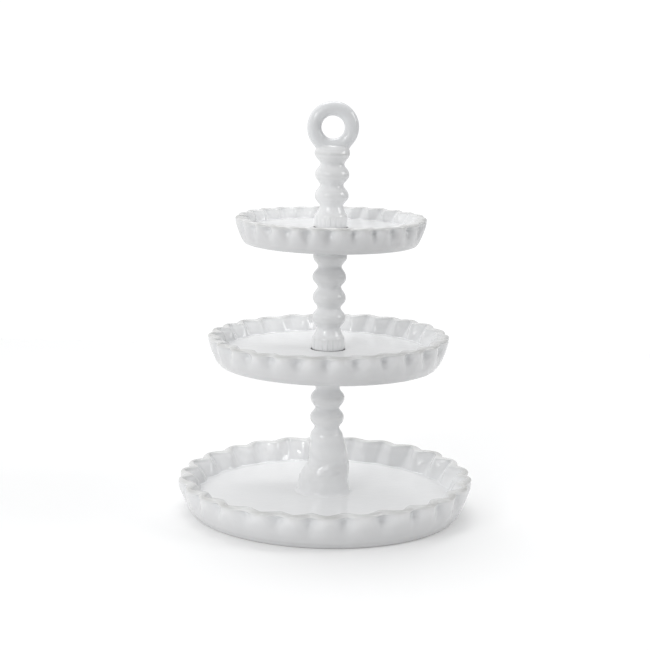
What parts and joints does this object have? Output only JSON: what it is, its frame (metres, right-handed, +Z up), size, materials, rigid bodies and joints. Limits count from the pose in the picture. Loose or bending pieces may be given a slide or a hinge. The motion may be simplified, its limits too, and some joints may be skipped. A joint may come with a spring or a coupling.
{
  "type": "three-tier cake stand",
  "caption": "Tiered serving stand: three fluted round dishes of falling size on a column of turned beads, with a finger ring on top to lift it by.",
  "frame": {"origin": "centre of the bottom dish's foot ring, on the table", "axes": "+Z up along the column; the finger ring faces -Y, its hole along Y; +X to the right of the ring"},
  "size_m": [0.2492, 0.2498, 0.3479],
  "materials": {
    "glaze": "glossy white glaze",
    "steel": "zinc-plated",
    "brass": "turned",
    "cement": "matt, cast",
    "rubber": "matt, near black"
  },
  "bodies": {
    "lower_stand": {"bottom_dish": "glaze", "lower_column": "glaze", "middle_insert": "brass", "middle_insert_potting": "cement", "middle_seat_gasket": "rubber"},
    "middle_tray": {"middle_dish": "glaze"},
    "middle_gasket": {"middle_collar_gasket": "rubber"},
    "middle_post": {"middle_column": "glaze", "middle_stud": "steel", "middle_stud_potting": "cement", "top_insert": "brass", "top_insert_potting": "cement", "top_seat_gasket": "rubber"},
    "top_tray": {"top_dish": "glaze"},
    "top_gasket": {"top_collar_gasket": "rubber"},
    "top_post": {"top_column": "glaze", "finger_ring": "glaze", "top_stud": "steel", "top_stud_potting": "cement"}
  },
  "joints": [
    {"name": "middle_tray_turn", "type": "hinge", "parent": "lower_stand", "child": "middle_tray", "pos_m": [0, 0, 0.1338], "axis": [0, 0, 1], "continuous": true},
    {"name": "middle_post_lift", "type": "slide", "parent": "lower_stand", "child": "middle_gasket", "axis": [0, 0, 1], "range_m": [0, 0.01]},
    {"name": "middle_post_unscrew", "type": "hinge", "parent": "middle_gasket", "child": "middle_post", "pos_m": [0, 0, 0.1403], "axis": [0, 0, 1], "range_deg": [0, 3600.1]},
    {"name": "top_tray_turn", "type": "hinge", "parent": "middle_post", "child": "top_tray", "pos_m": [0, 0, 0.2369], "axis": [0, 0, 1], "continuous": true},
    {"name": "top_post_lift", "type": "slide", "parent": "middle_post", "child": "top_gasket", "axis": [0, 0, 1], "range_m": [0, 0.01]},
    {"name": "top_post_unscrew", "type": "hinge", "parent": "top_gasket", "child": "top_post", "pos_m": [0, 0, 0.2434], "axis": [0, 0, 1], "range_deg": [0, 3600.1]}
  ],
  "couplings": [
    {"joint": "middle_post_unscrew", "follows": "middle_post_lift", "rad_per_m": 6283.2},
    {"joint": "top_post_unscrew", "follows": "top_post_lift", "rad_per_m": 6283.2}
  ]
}
